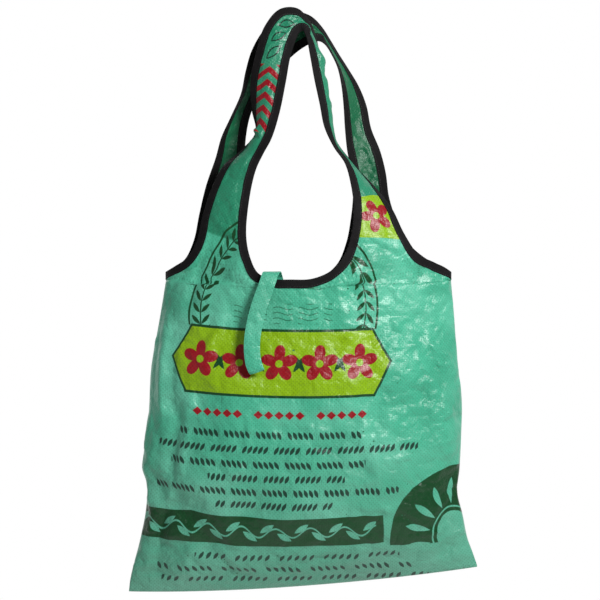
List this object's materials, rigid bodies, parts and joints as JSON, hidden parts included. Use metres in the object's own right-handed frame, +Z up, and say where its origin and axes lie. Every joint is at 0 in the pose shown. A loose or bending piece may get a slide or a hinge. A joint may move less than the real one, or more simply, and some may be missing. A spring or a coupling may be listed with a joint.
{
  "type": "rice sack shopping bag",
  "caption": "Flat shopping bag sewn from a woven plastic rice sack, with bound edges, a hoop handle on each face and a loose closure tab, hanging by its handles.",
  "frame": {"origin": "the hang point, the middle of a round peg just under the inner edges of the handles", "axes": "+Z up, +X to the right as the printed front is seen, -Y out of the printed front"},
  "size_m": [0.4532, 0.1341, 0.7575],
  "materials": {
    "sack_cloth": "satin laminated weave",
    "binding_tape": "matt ribbed tape"
  },
  "bodies": {
    "root": {"sack": "sack_cloth", "mouth_binding_front": "binding_tape", "mouth_binding_back": "binding_tape", "outer_binding": "binding_tape", "closure_tab": "sack_cloth"}
  },
  "joints": []
}
